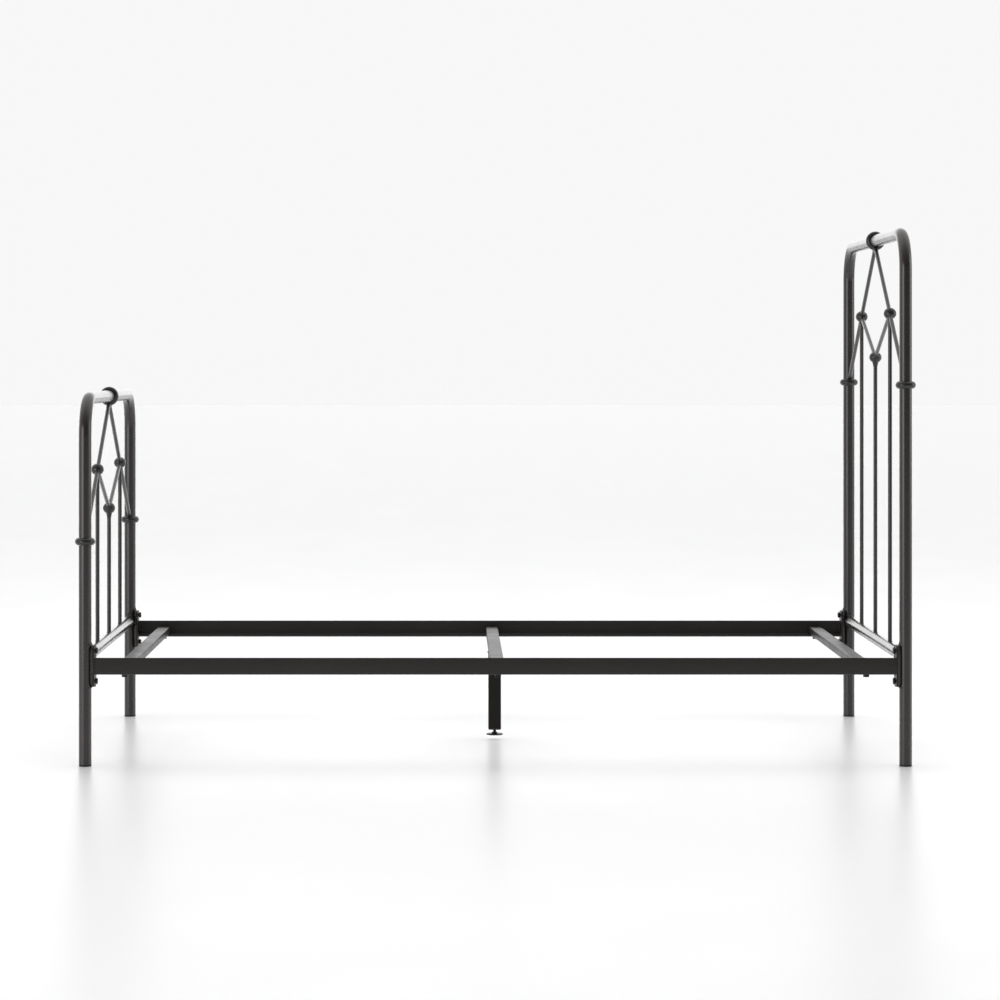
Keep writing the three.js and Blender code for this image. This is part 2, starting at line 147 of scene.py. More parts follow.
def skin(rings, closed=False):
    """Vertices and faces of a surface through rings of the same number of points. It is capped at both
    ends, or closed on itself."""
    sides = len(rings[0])
    verts = [v for ring in rings for v in ring]
    faces = []
    last = len(rings) if closed else len(rings) - 1
    for i in range(last):
        a, b = i * sides, ((i + 1) % len(rings)) * sides
        for j in range(sides):
            k = (j + 1) % sides
            faces.append((a + j, a + k, b + k, b + j))
    if not closed:
        faces.append(tuple(range(sides)))
        faces.append(tuple((len(rings) - 1) * sides + j for j in range(sides)))
    return verts, faces


def sweep(name, stations, sides):
    """A round bar through stations of (point, tangent, radius), kept free of twist."""
    side = stations[0][1].orthogonal().normalized()
    rings = []
    for point, tangent, radius in stations:
        along = tangent.normalized()
        side = (side - along * side.dot(along)).normalized()
        across = along.cross(side)
        rings.append([
            point + radius * (math.cos(a) * side + math.sin(a) * across)
            for a in (2 * math.pi * j / sides for j in range(sides))
        ])
    return mesh_from(name, *skin(rings))


def straight(start, end, radius):
    """Stations of a straight bar whose end edges are eased."""
    along = (end - start).normalized()
    return [
        (start, along, radius - END_EASE),
        (start + along * END_EASE, along, radius),
        (end - along * END_EASE, along, radius),
        (end, along, radius - END_EASE),
    ]


def turned(name, profile, sides, place):
    """A lathe shape from (radius, height) points. A point at radius 0 closes it on the axis."""
    verts, faces, rows = [], [], []
    for radius, height in profile:
        if radius == 0:
            rows.append([len(verts)] * sides)
            verts.append(place @ Vector((0, 0, height)))
            continue
        rows.append(range(len(verts), len(verts) + sides))
        verts += [
            place @ Vector((radius * math.cos(a), radius * math.sin(a), height))
            for a in (2 * math.pi * j / sides for j in range(sides))
        ]
    for low, high in zip(rows, rows[1:]):
        for j in range(sides):
            k = (j + 1) % sides
            corners = [low[j], low[k], high[k], high[j]]
            faces.append(tuple(dict.fromkeys(corners)))
    return mesh_from(name, verts, [f for f in faces if len(f) > 2])


def turned_ring(name, profile, sides, place):
    """A lathe shape whose profile closes on itself."""
    rings = [
        [
            place @ Vector((radius * math.cos(a), radius * math.sin(a), height))
            for radius, height in profile
        ]
        for a in (2 * math.pi * j / sides for j in range(sides))
    ]
    return mesh_from(name, *skin(rings, closed=True))


def axis_place(origin, axis):
    """A matrix that puts a lathe's axis along a direction."""
    return Matrix.Translation(origin) @ axis.to_track_quat("Z", "Y").to_matrix().to_4x4()


def rounded_outline(width, height, radius, steps=6):
    """A rectangle with round corners, about the origin."""
    points = []
    for corner in range(4):
        cx = (width / 2 - radius) * (1 if corner in (0, 3) else -1)
        cy = (height / 2 - radius) * (1 if corner in (0, 1) else -1)
        for step in range(steps + 1):
            a = math.pi / 2 * (corner + step / steps)
            points.append((cx + radius * math.cos(a), cy + radius * math.sin(a)))
    return points


def slab(name, outline, thickness, place):
    """A plate from an outline in its own XY plane, with rounded edges."""
    centre = Vector((sum(p[0] for p in outline), sum(p[1] for p in outline))) / len(outline)
    steps = 3
    edge = []
    for step in range(steps + 1):
        a = math.pi / 2 * step / steps
        edge.append((-thickness / 2 + PLATE_EASE * (1 - math.sin(a)), PLATE_EASE * (1 - math.cos(a))))
    levels = edge + [(-h, inset) for h, inset in reversed(edge)]
    loops = []
    for height, inset in levels:
        loop = []
        for px, py in outline:
            out = Vector((px, py)) - centre
            shrunk = Vector((
                px - math.copysign(min(inset, abs(out.x)), out.x),
                py - math.copysign(min(inset, abs(out.y)), out.y),
            ))
            loop.append(place @ Vector((shrunk.x, shrunk.y, height)))
        loops.append(loop)
    return mesh_from(name, *skin(loops))


def hollow_bar(name, outer, inner, start, end, place):
    """A tube of any section: two outlines with the same number of points."""
    loops = [
        [place @ Vector((x, y, start)) for x, y in outer],
        [place @ Vector((x, y, end)) for x, y in outer],
        [place @ Vector((x, y, end)) for x, y in inner],
        [place @ Vector((x, y, start)) for x, y in inner],
    ]
    return mesh_from(name, *skin(loops, closed=True))


# ---------------------------------------------------------------- materials
class Nodes:
    """A short way to write a material's node tree."""

    def __init__(self, name):
        self.material = bpy.data.materials.new(name)
        self.material.use_nodes = True
        self.tree = self.material.node_tree
        self.shader = self.tree.nodes["Principled BSDF"]
        self.coords = self.tree.nodes.new("ShaderNodeTexCoord").outputs["Object"]

    def add(self, kind, inputs=None, **settings):
        node = self.tree.nodes.new(kind)
        for key, value in settings.items():
            setattr(node, key, value)
        for key, value in (inputs or {}).items():
            if isinstance(value, bpy.types.NodeSocket):
                self.tree.links.new(value, node.inputs[key])
            else:
                node.inputs[key].default_value = value
        return node

    def noise(self, scale, detail):
        inputs = {"Vector": self.coords, "Scale": scale, "Detail": detail}
        return self.add("ShaderNodeTexNoise", inputs).outputs["Fac"]

    def remap(self, value, low, high, to_low, to_high):
        return self.add("ShaderNodeMapRange", {
            "Value": value, "From Min": low, "From Max": high, "To Min": to_low, "To Max": to_high,
        }).outputs["Result"]

    def mix(self, factor, first, second):
        node = self.add("ShaderNodeMix", data_type="RGBA")
        for index, value in ((0, factor), (6, first), (7, second)):
            if isinstance(value, bpy.types.NodeSocket):
                self.tree.links.new(value, node.inputs[index])
            else:
                node.inputs[index].default_value = value
        return node.outputs[2]

    def bump(self, height, strength, distance, normal=None):
        inputs = {"Height": height, "Strength": strength, "Distance": distance}
        if normal is not None:
            inputs["Normal"] = normal
        return self.add("ShaderNodeBump", inputs).outputs["Normal"]

    def set(self, name, value):
        if isinstance(value, bpy.types.NodeSocket):
            self.tree.links.new(value, self.shader.inputs[name])
        else:
            self.shader.inputs[name].default_value = value


def tone(base, factor):
    """A colour made darker or lighter, with its alpha."""
    return (*[c * factor for c in base], 1)


def enamel(name, base, rough, coat, coat_rough, grain=0.05, specular=0.5):
    """Stoved enamel over steel: a slight drift of colour and gloss, and a faint orange peel."""
    n = Nodes(name)
    drift = n.remap(n.noise(3.5, 3), 0.3, 0.7, 0, 1)
    n.set("Base Color", n.mix(drift, tone(base, 0.9), tone(base, 1.12)))
    n.set("Roughness", n.remap(n.noise(14, 4), 0.3, 0.7, rough - 0.03, rough + 0.04))
    peel = n.bump(n.noise(240, 2), grain, 0.1 * MM)
    n.set("Normal", n.bump(n.noise(60, 3), grain, 0.2 * MM, peel))
    n.set("Specular IOR Level", specular)
    n.set("Coat Weight", coat)
    n.set("Coat Roughness", coat_rough)
    return n.material


def blackened_steel(name, base):
    """Oxide-blackened bolts, rubbed a little lighter in places."""
    n = Nodes(name)
    wear = n.remap(n.noise(60, 5), 0.35, 0.7, 0, 1)
    n.set("Base Color", n.mix(wear, tone(base, 1), tone(base, 1.8)))
    n.set("Metallic", 0.75)
    n.set("Roughness", n.remap(n.noise(140, 5), 0.3, 0.7, 0.32, 0.52))
    n.set("Normal", n.bump(n.noise(600, 4), 0.25, 0.15 * MM))
    return n.material


def moulded_plastic(name, base):
    """Matt black plastic with a fine moulded grain."""
    n = Nodes(name)
    n.set("Base Color", n.mix(n.noise(30, 4), tone(base, 1), tone(base, 1.6)))
    n.set("Roughness", n.remap(n.noise(90, 4), 0.3, 0.7, 0.5, 0.68))
    n.set("Normal", n.bump(n.noise(900, 2), 0.3, 0.1 * MM))
    return n.material


def weld_paint(name, base):
    """The enamel where it lies over the rough skin of a weld."""
    n = Nodes(name)
    n.set("Base Color", n.mix(n.noise(120, 5), tone(base, 0.7), tone(base, 1.2)))
    n.set("Roughness", n.remap(n.noise(150, 5), 0.3, 0.7, 0.34, 0.5))
    n.set("Normal", n.bump(n.noise(350, 5), 0.35, 0.4 * MM))
    n.set("Coat Weight", 0.15)
    n.set("Coat Roughness", 0.2)
    return n.material


PAINT = enamel("enamel_tube", (0.021, 0.0165, 0.0145), rough=0.28, coat=0.65, coat_rough=0.17)
CAST = enamel("enamel_cast", (0.012, 0.0098, 0.009), rough=0.3, coat=0.4, coat_rough=0.15, grain=0.12)
RAIL = enamel("enamel_rail", (0.022, 0.02, 0.0183), rough=0.38, coat=0.0, coat_rough=0.2, specular=0.42)
# The leg's enamel is darker than the other enamels: painted shade, as if the leg stood in shadow under the
# bed.
LEG_ENAMEL_PAINTED_SHADE = enamel("enamel_leg_painted_shade", (0.0125, 0.0098, 0.0078), rough=0.5, coat=0.0, coat_rough=0.2, specular=0.25)
STEEL = blackened_steel("blackened_steel", (0.03, 0.0265, 0.0245))
PLASTIC = moulded_plastic("moulded_plastic", (0.012, 0.012, 0.012))
WELD = weld_paint("enamel_weld", (0.026, 0.023, 0.022))


# ---------------------------------------------------------------- panel tubes
def hoop_stations(plan):
    """Up one post, round two bends and down the other post."""
    x, post_y, radius, low = plan["x"], plan["post_y"], plan["radius"], plan["leg_z"]
    eased, plain = low + END_EASE, low + 2 * MM
    centre_z = plan["bar_z"] - BEND_R
    stations = [(Vector((x, -post_y, low)), Z, radius - END_EASE)]
    for height in (eased, plain):
        stations.append((Vector((x, -post_y, height)), Z, radius))
    steps = 28
    for bend, start in ((-1, math.pi), (1, math.pi / 2)):
        centre_y = bend * (post_y - BEND_R)
        for step in range(steps + 1):
            a = start - math.pi / 2 * step / steps
            point = Vector((x, centre_y + BEND_R * math.cos(a), centre_z + BEND_R * math.sin(a)))
            stations.append((point, Vector((0, math.sin(a), -math.cos(a))), radius))
    for height in (plain, eased):
        stations.append((Vector((x, post_y, height)), -Z, radius))
    stations.append((Vector((x, post_y, low)), -Z, radius - END_EASE))
    return stations


def saddle_bead(name, place, bar_r, base_r, width, height, reach=None):
    """A fillet round a bar where it meets a round tube. The bar runs along local Z from the tube's
    axis at the origin, and the tube along local Y. reach limits the bead at the tube's sides."""
    sides, steps = 48, 8
    thinnest, ripple = 0.15, 0.06       # of the bead's own width and height
    sunk, skirt = 0.1 * MM, 1.2 * MM    # how deep it sits in the bar and in the tube
    edge = base_r * 0.995
    rings = []
    for step in range(-1, steps + 1):
        ring = []
        for j in range(sides):
            a = 2 * math.pi * j / sides
            fade = 1.0 if reach is None else thinnest + (1 - thinnest) * abs(math.sin(a)) ** reach
            wave = 1 + ripple * noise.noise(Vector((3 * math.cos(a), 3 * math.sin(a), bar_r * 900)))
            turn = math.pi / 2 * max(step, 0) / steps
            radius = bar_r - sunk + width * fade * wave * (1 - math.sin(turn))
            px = max(-edge, min(edge, radius * math.cos(a)))
            base = math.sqrt(base_r ** 2 - px ** 2)
            lift = height * fade * wave * (1 - math.cos(turn)) if step >= 0 else -skirt
            ring.append(place @ Vector((px, radius * math.sin(a), base + lift)))
        rings.append(ring)
    return mesh_from(name, *skin(rings))


def cast_ring(name, place, half_width, outer_r, bore_r, node):
    """A cast ring round a tube: a full round outside, eased into the bore."""
    profile = []
    steps = 22
    crown = outer_r - half_width
    for step in range(steps + 1):
        a = -math.pi / 2 + math.pi * step / steps
        profile.append((max(crown + half_width * math.cos(a), bore_r), half_width * math.sin(a)))
    profile += [(bore_r, half_width * 0.9), (bore_r, -half_width * 0.9)]
    piece(name, turned_ring(name, profile, 72, place), "frame", CAST, (node,))


def ball_with_necks(name, centre, ball_r, ball_half, necks, stands_for=()):
    """A cast ball with a short neck round each rod, run together as one casting.
    A neck is a direction, its radius at the ball's middle and at its far end, and its length."""
    bm = bmesh.new()
    bmesh.ops.create_uvsphere(bm, u_segments=40, v_segments=24, radius=ball_r)
    bmesh.ops.scale(bm, vec=(1, 1, ball_half / ball_r), verts=bm.verts)
    for direction, near_r, far_r, reach in necks:
        cone = bmesh.ops.create_cone(
            bm, cap_ends=True, segments=32, radius1=near_r, radius2=far_r, depth=reach)
        turn = direction.to_track_quat("Z", "Y").to_matrix().to_4x4()
        shift = Matrix.Translation(direction * reach / 2)
        bmesh.ops.transform(bm, matrix=shift @ turn, verts=cone["verts"])
    bmesh.ops.translate(bm, vec=centre, verts=bm.verts)
    data = bpy.data.meshes.new(name)
    bm.to_mesh(data)
    bm.free()
    fused(name, data, stands_for)


def fused(name, data, stands_for):
    """A casting made from overlapping shells: one skin with soft inner corners."""
    source = bpy.data.objects.new(name + "_source", data)
    bpy.context.scene.collection.objects.link(source)
    remesh = source.modifiers.new("remesh", "REMESH")
    remesh.mode = "VOXEL"
    remesh.voxel_size = CAST_VOXEL
    smooth = source.modifiers.new("smooth", "SMOOTH")
    smooth.factor = 0.5
    smooth.iterations = CAST_SMOOTHING
    graph = bpy.context.evaluated_depsgraph_get()
    finished = bpy.data.meshes.new_from_object(source.evaluated_get(graph))
    bpy.data.objects.remove(source)
    finished.name = name
    piece(name, finished, "frame", CAST, stands_for)


def rod(name, start, end, node):
    """A round rod with its ends inside the castings or the tube that it meets."""
    data = sweep(name, straight(start, end, ROD_R), ROD_SIDES)
    piece(name, data, "frame", PAINT, (node,))


def build_knuckles(plan):
    """Three cast balls, each with necks round the rods that run into it."""
    name, x = plan["name"], plan["x"]
    inner = Vector((x, 0, plan["middle_z"]))
    reach = plan["ball_r"] + NECK_REACH
    for side, sign in SIDES:
        outer = Vector((x, sign * plan["knuckle_y"], plan["knuckle_z"]))
        collar = Vector((x, sign * plan["post_y"], plan["collar_z"]))
        along = (collar - outer).normalized()
        to_middle = (inner - outer).normalized()
        necks = [
            (direction, ROD_R + NECK_FLARE, ROD_R - NECK_TAPER, reach)
            for direction in (along, -along, to_middle, -Z)
        ]
        ball_with_necks(f"{name}_{side}_knuckle_cast", outer, plan["ball_r"], KNUCKLE_HALF_HEIGHT, necks,
                        (f"{name}_{side}_knuckle",))
    necks = [(-Z, ROD_R + FUNNEL_FLARE, ROD_R - NECK_TAPER, KNUCKLE_HALF_HEIGHT + NECK_LENGTH)]
    for _side, sign in SIDES:
        outer = Vector((x, sign * plan["knuckle_y"], plan["knuckle_z"]))
        direction = (outer - inner).normalized()
        necks.append((direction, ROD_R + NECK_FLARE, ROD_R - NECK_TAPER, reach))
    ball_with_necks(f"{name}_middle_knuckle_cast", inner, plan["ball_r"], KNUCKLE_HALF_HEIGHT, necks,
                    (f"{name}_middle_knuckle",))


def build_rods(plan):
    """Two long rods from the top ring to the collars, two inner rods and three spindles."""
    name, x = plan["name"], plan["x"]
    foot_z = plan["cross_z"] + plan["radius"] - SPINDLE_SINK
    inner = Vector((x, 0, plan["middle_z"]))
    for side, sign in SIDES:
        outer = Vector((x, sign * plan["knuckle_y"], plan["knuckle_z"]))
        collar = Vector((x, sign * plan["post_y"], plan["collar_z"]))
        slope = collar - outer
        top = outer - slope * (1 - TOP_ROD_Y / plan["knuckle_y"])
        bottom = collar - slope.normalized() * COLLAR_ROD_INSET
        rod(f"{name}_{side}_long_rod_bar", top, bottom, f"{name}_{side}_long_rod")
        inward = (inner - outer).normalized() * ROD_INSET
        rod(f"{name}_{side}_inner_rod_bar", outer + inward, inner - inward, f"{name}_{side}_inner_rod")
        rod(f"{name}_{side}_spindle_bar", Vector((x, outer.y, foot_z)), outer - Z * ROD_INSET,
            f"{name}_{side}_spindle")
    rod(f"{name}_middle_spindle_bar", Vector((x, 0, foot_z)), inner - Z * ROD_INSET,
        f"{name}_middle_spindle")


def build_rings(plan):
    """The top ring with the boss under it, and a collar round each post."""
    name, x = plan["name"], plan["x"]
    low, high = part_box(f"{name}_top_ring")
    bore = plan["radius"] + 0.1 * MM    # a hair clear of the tube
    cast_ring(f"{name}_top_ring_cast", axis_place(Vector((x, 0, plan["bar_z"])), Y),
              (high.y - low.y) / 2, (high.x - low.x) / 2, bore, f"{name}_top_ring")
    slope = (plan["collar_z"] - plan["knuckle_z"]) / (plan["post_y"] - plan["knuckle_y"])
    crossing = Vector((x, 0, plan["knuckle_z"] - slope * plan["knuckle_y"]))
    necks = [
        (Vector((0, sign, slope)).normalized(), ROD_R + NECK_FLARE, ROD_R - NECK_TAPER, RING_BOSS_REACH)
        for _side, sign in SIDES
    ]
    ball_with_necks(f"{name}_top_ring_boss", crossing, RING_BOSS_R, RING_BOSS_HALF_HEIGHT, necks)
    for side, sign in SIDES:
        low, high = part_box(f"{name}_{side}_collar")
        centre = Vector((x, sign * plan["post_y"], plan["collar_z"]))
        cast_ring(f"{name}_{side}_collar_cast", axis_place(centre, Z),
                  (high.z - low.z) / 2, (high.x - low.x) / 2, bore, f"{name}_{side}_collar")


def build_cross_tube(plan):
    """The tube between the posts, and its welds to the posts and the spindles."""
    name, x = plan["name"], plan["x"]
    end_y = plan["post_y"] - 6 * MM     # inside the posts' walls
    start, end = (Vector((x, y, plan["cross_z"])) for y in (-end_y, end_y))
    stations = straight(start, end, plan["radius"])
    piece(f"{name}_cross_tube_bar", sweep(f"{name}_cross_tube_bar", stations, TUBE_SIDES),
          "frame", PAINT, (f"{name}_cross_tube",))
    post_weld, post_weld_reach = 8 * MM, 1.5
    spindle_weld_width, spindle_weld_height = 3 * MM, 3.4 * MM
    for side, sign in SIDES:
        # Local Y runs up the post and local Z along the cross tube.
        place = Matrix.Translation((x, sign * plan["post_y"], plan["cross_z"])) @ Matrix(
            ((1, 0, 0, 0), (0, 0, -sign, 0), (0, 1, 0, 0), (0, 0, 0, 1)))
        bead = saddle_bead(f"{name}_{side}_post_weld", place, plan["radius"], plan["radius"],
                           post_weld, post_weld, post_weld_reach)
        piece(f"{name}_{side}_post_weld", bead, "frame", WELD)
    for label, y in (("left", -plan["knuckle_y"]), ("middle", 0), ("right", plan["knuckle_y"])):
        bead = saddle_bead(f"{name}_{label}_spindle_weld", Matrix.Translation((x, y, plan["cross_z"])),
                           ROD_R, plan["radius"], spindle_weld_width, spindle_weld_height)
        piece(f"{name}_{label}_spindle_weld", bead, "frame", WELD)


def build_glides(plan):
    """A plug in the open end of each post, with a round rim and a slightly hollow sole."""
    rim, edge, stem_inset, steps, sides = 1.2 * MM, 0.3 * MM, 2 * MM, 6, 56
    flange = plan["leg_z"] - 0.1 * MM
    for side, sign in SIDES:
        node = f"{plan['name']}_{side}_glide"
        low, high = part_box(node)
        radius = (high.x - low.x) / 2
        profile = [(0, 0.6 * MM), (radius * 0.6, 0.5 * MM), (radius * 0.75, 0)]
        for step in range(steps + 1):
            a = -math.pi / 2 + math.pi / 2 * step / steps
            profile.append((radius - rim + rim * math.cos(a), rim + rim * math.sin(a)))
        profile += [(radius, flange - edge), (radius - edge, flange), (radius - stem_inset, flange),
                    (radius - stem_inset, high.z), (0, high.z)]
        place = Matrix.Translation((plan["x"], sign * plan["post_y"], 0))
        piece(node + "_plug", turned(node + "_plug", profile, sides, place), "frame",
              PLASTIC, (node,))


# ---------------------------------------------------------------- corner joints
def hex_bolt(name, head_height, shank, place):
    """A hexagon head with a chamfered face, on a plain shank. The head is below the origin."""
    sides = 72
    flat = BOLT_HEAD_R * math.cos(math.pi / 6)      # half the width across the flats
    washer_r, washer = flat * 0.97, 0.5 * MM        # raised face under the head
    chamfer_r, chamfer_slope = BOLT_HEAD_R * 0.86, 0.58
    rings = []

    def hex_radius(a):
        return flat / math.cos((a + math.pi / 6) % (math.pi / 3) - math.pi / 6)

    angles = [2 * math.pi * j / sides for j in range(sides)]

    def ring(radius_of, height_of):
        rings.append([
            place @ Vector((radius_of(a) * math.cos(a), radius_of(a) * math.sin(a), height_of(a)))
            for a in angles
        ])

    ring(lambda a: BOLT_SHANK_R, lambda a: shank)
    ring(lambda a: BOLT_SHANK_R, lambda a: 0)
    ring(lambda a: washer_r, lambda a: 0)
    ring(lambda a: washer_r, lambda a: -washer)
    ring(hex_radius, lambda a: -washer)
    ring(hex_radius, lambda a: -head_height + chamfer_slope * (hex_radius(a) - chamfer_r))
    ring(lambda a: chamfer_r, lambda a: -head_height)
    ring(lambda a: chamfer_r * 0.5, lambda a: -head_height)
    return mesh_from(name, *skin(rings))


def weld_run(name, start, end, radius, seed):
    """A weld laid along a line: a bar whose ripples lap one over the next."""
    length = (end - start).length
    along = (end - start).normalized()
    step_length, ripple_length, sides = 0.45 * MM, 3.2 * MM, 14
    steps = max(12, int(length / step_length))
    stations = []
    for step in range(steps + 1):
        t = step / steps
        ripple = abs(math.sin(math.pi * t * length / ripple_length))
        wander = noise.noise(Vector((start.x * 50 + t * 9, start.y * 50, seed * 1000)))
        taper = min(1, 6 * t + 0.25, 6 * (1 - t) + 0.25)
        swell = radius * taper * (0.86 + 0.14 * ripple + 0.08 * wander)
        stations.append((start + along * length * t, along, swell))
    return sweep(name, stations, sides)


def heel_fillet(name, origin, radius, inboard, out, tall, up):
    """A hollow-faced fillet of weld between a post and the end edge of its bracket, from the point on
    the post's axis at the bracket's end. It melts into the post at its sides and its far end."""
    steps, across, spread = 12, 24, math.radians(66)
    sunk, backing, lap = 0.2 * MM, 1.5 * MM, 1 * MM     # into the post, behind its skin, over the bracket
    rings = []
    for step in range(steps + 1):
        t = step / steps
        ring = []
        for j in range(across + 1):
            a = spread * (2 * j / across - 1)
            wave = 1 + 0.10 * noise.noise(Vector((7 * t, 5 * a, origin.x * 40 + origin.y * 9)))
            bulge = math.cos(a * math.pi / 2 / spread) ** 1.3
            ring.append((radius - sunk + (out + sunk) * (1 - t) ** 1.8 * wave * bulge, a))
        ring += [(radius - backing, a) for _r, a in reversed(ring)]
        rings.append([
            origin + Vector((inboard * r * math.cos(a), r * math.sin(a), up * (tall * t - lap)))
            for r, a in ring
        ])
    return mesh_from(name, *skin(rings))


def build_corner(plan, side, sign):
    """Bracket plate on the post, rail plate against it, welds and two bolts."""
    name, inboard = plan["name"], plan["inboard"]
    node = f"{name}_{side}_rail_bracket"
    low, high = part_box(node)
    centre = (low + high) / 2
    thickness = high.x - low.x
    # The plates' outlines lie across the bed, in Y and Z.
    turn = Matrix(((0, 0, 1, 0), (1, 0, 0, 0), (0, 1, 0, 0), (0, 0, 0, 1)))
    outline = rounded_outline(high.y - low.y, high.z - low.z, PLATE_CORNER_R, steps=8)
    place = Matrix.Translation(centre) @ turn
    piece(node + "_plate", slab(node + "_plate", outline, thickness, place), "frame",
          PAINT, (node,))
    rail_low, rail_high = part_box(f"{side}_side_rail")
    end_x = rail_high.x if plan["x"] > 0 else rail_low.x
    plate_x = end_x + inboard * thickness / 2
    label = f"{side}_side_rail_{name}_plate"
    place = Matrix.Translation((plate_x, centre.y, centre.z)) @ turn
    piece(label, slab(label, outline, thickness, place), "frame", RAIL)
    weld_r, weld_margin = 2.6 * MM, 7 * MM
    post_side_x = plan["x"] + inboard * (plan["radius"] - 1.4 * MM)
    for label, offset in (("outer", 1), ("inner", -1)):
        y = sign * (plan["post_y"] + offset * plan["radius"] * 0.42)
        start = Vector((post_side_x, y, low.z + weld_margin))
        end = Vector((post_side_x, y, high.z - weld_margin))
        weld = weld_run(f"{name}_{side}_{label}_bracket_weld", start, end, weld_r, offset)
        piece(f"{name}_{side}_{label}_bracket_weld", weld, "frame", WELD)
    top_tall, bottom_tall = 12 * MM, 6 * MM
    for label, z, tall, up in (("top", high.z, top_tall, 1), ("bottom", low.z, bottom_tall, -1)):
        axis = Vector((plan["x"], sign * plan["post_y"], z))
        fillet = heel_fillet(f"{name}_{side}_{label}_bracket_fillet", axis, plan["radius"], inboard,
                             thickness, tall, up)
        piece(f"{name}_{side}_{label}_bracket_fillet", fillet, "frame", WELD)
    for level in ("lower", "upper"):
        node = f"{name}_{side}_{level}_bolt"
        bolt_low, bolt_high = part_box(node)
        bolt_mid = middle(node)
        head = CORNER_BOLT_HEAD
        face_x = bolt_low.x + head if inboard < 0 else bolt_high.x - head
        shank = (bolt_high.x - bolt_low.x) - head
        place = axis_place(Vector((face_x, bolt_mid.y, bolt_mid.z)), X * -inboard)
        # Each bolt is left at its own angle by the spanner.
        spin = Matrix.Rotation(math.radians(11 + 23 * sign + (9 if level == "upper" else 0)), 4, "Z")
        piece(node + "_steel", hex_bolt(node + "_steel", head, shank, place @ spin), "frame",
              STEEL, (node,))


def build_panel(name):
    """The headboard or the footboard: both have the same pieces."""
    plan = panel_plan(name)
    hoop = sweep(f"{name}_hoop", hoop_stations(plan), TUBE_SIDES)
    piece(f"{name}_hoop", hoop, "frame", PAINT, (f"{name}_hoop_tube",))
    build_cross_tube(plan)
    build_rings(plan)
    build_knuckles(plan)
    build_rods(plan)
    build_glides(plan)
    for side, sign in SIDES:
        build_corner(plan, side, sign)


# ---------------------------------------------------------------- rails and slats
def angle_outline(sign):
    """The angle's section in Y and Z: rounded heel, rims and toes, and a fillet in the root."""
    width, t = RAIL_WIDTH, RAIL_THICK
    toe_r, root_r, heel_r, rim_r = 2.2 * MM, 4 * MM, 2.6 * MM, 1.5 * MM
    points = []

    def arc(cx, cy, radius, first, last, steps=6):
        for step in range(steps + 1):
            a = math.radians(first + (last - first) * step / steps)
            points.append((cx + radius * math.cos(a), cy + radius * math.sin(a)))

    arc(heel_r, heel_r, heel_r, 270, 180)
    arc(rim_r, width - rim_r, rim_r, 180, 90)
    arc(t - toe_r, width - toe_r, toe_r, 90, 0)
    arc(t + root_r, t + root_r, root_r, 180, 270)
    arc(width - toe_r, t - toe_r, toe_r, 90, 0)
    arc(width - rim_r, rim_r, rim_r, 0, -90)
    return [(sign * (RAIL_OUTER_Y - across), RAIL_BOTTOM_Z + up) for across, up in points]


def build_rail(side, sign):
    """The angle, the welds at its ends and its slat bolts. Its end plates belong to the corners."""
    rail_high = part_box(f"{side}_side_rail")[1]
    plate_low, plate_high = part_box(f"head_{side}_rail_bracket")
    half = rail_high.x - (plate_high.x - plate_low.x)
    section = angle_outline(sign)
    rings = [[Vector((x, y, z)) for y, z in section] for x in (-half, half)]
    piece(f"{side}_side_rail_angle", mesh_from(f"{side}_side_rail_angle", *skin(rings)),
          "frame", RAIL, (f"{side}_side_rail",))
    weld_r = 2.4 * MM
    upright_y = sign * (RAIL_OUTER_Y - RAIL_THICK - 1 * MM)
    ledge_z = RAIL_BOTTOM_Z + RAIL_THICK + 0.8 * MM
    for end, label in ((-half, "foot"), (half, "head")):
        weld_x = end - math.copysign(1.2 * MM, end)
        weld = weld_run(f"{side}_{label}_upright_weld",
                        Vector((weld_x, upright_y, RAIL_BOTTOM_Z + 8 * MM)),
                        Vector((weld_x, upright_y, RAIL_BOTTOM_Z + RAIL_WIDTH - 2 * MM)), weld_r, 2)
        piece(f"{side}_{label}_upright_weld", weld, "frame", WELD)
        weld = weld_run(f"{side}_{label}_ledge_weld",
                        Vector((weld_x, sign * (RAIL_OUTER_Y - 36 * MM), ledge_z)),
                        Vector((weld_x, sign * (RAIL_OUTER_Y - 8 * MM), ledge_z)), weld_r, 3)
        piece(f"{side}_{label}_ledge_weld", weld, "frame", WELD)
    for end in ("foot_end", "middle", "head_end"):
        node = f"{end}_{side}_slat_bolt"
        bolt_low, bolt_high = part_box(node)
        bolt_mid = middle(node)
        head = SLAT_BOLT_HEAD
        face = Vector((bolt_mid.x, bolt_mid.y, bolt_low.z + head))
        place = axis_place(face, Z) @ Matrix.Rotation(math.radians(17 * (1 + sign) + 8), 4, "Z")
        shank = bolt_high.z - bolt_low.z - head
        look = LEG_ENAMEL_PAINTED_SHADE if end == "middle" else STEEL    # the middle bolts take the leg's enamel, darkened as painted shade
        piece(node + "_steel", hex_bolt(node + "_steel", head, shank, place), "frame",
              look, (node,))


def build_slats():
    """Three tubes across the bed. The middle one carries the centre leg."""
    # A tube's length lies along the bed's Y and its section's height along Z.
    across = Matrix(((1, 0, 0, 0), (0, 0, -1, 0), (0, 1, 0, 0), (0, 0, 0, 1)))
    outer_r, inner_r = 2.6 * MM, 1.2 * MM
    slat_low, slat_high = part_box("head_end_slat")
    bottom, top = slat_low.z, slat_high.z
    for node in ("foot_end_slat", "middle_slat_with_leg", "head_end_slat"):
        low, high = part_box(node)
        width, height = high.x - low.x, top - bottom
        outer = rounded_outline(width, height, outer_r)
        inner = rounded_outline(width - 2 * SLAT_WALL, height - 2 * SLAT_WALL, inner_r)
        place = Matrix.Translation(((low.x + high.x) / 2, 0, (top + bottom) / 2)) @ across
        name = node.replace("_with_leg", "") + "_tube"
        piece(name, hollow_bar(name, outer, inner, low.y, high.y, place), "frame",
              RAIL, (node,))
    build_leg(bottom)


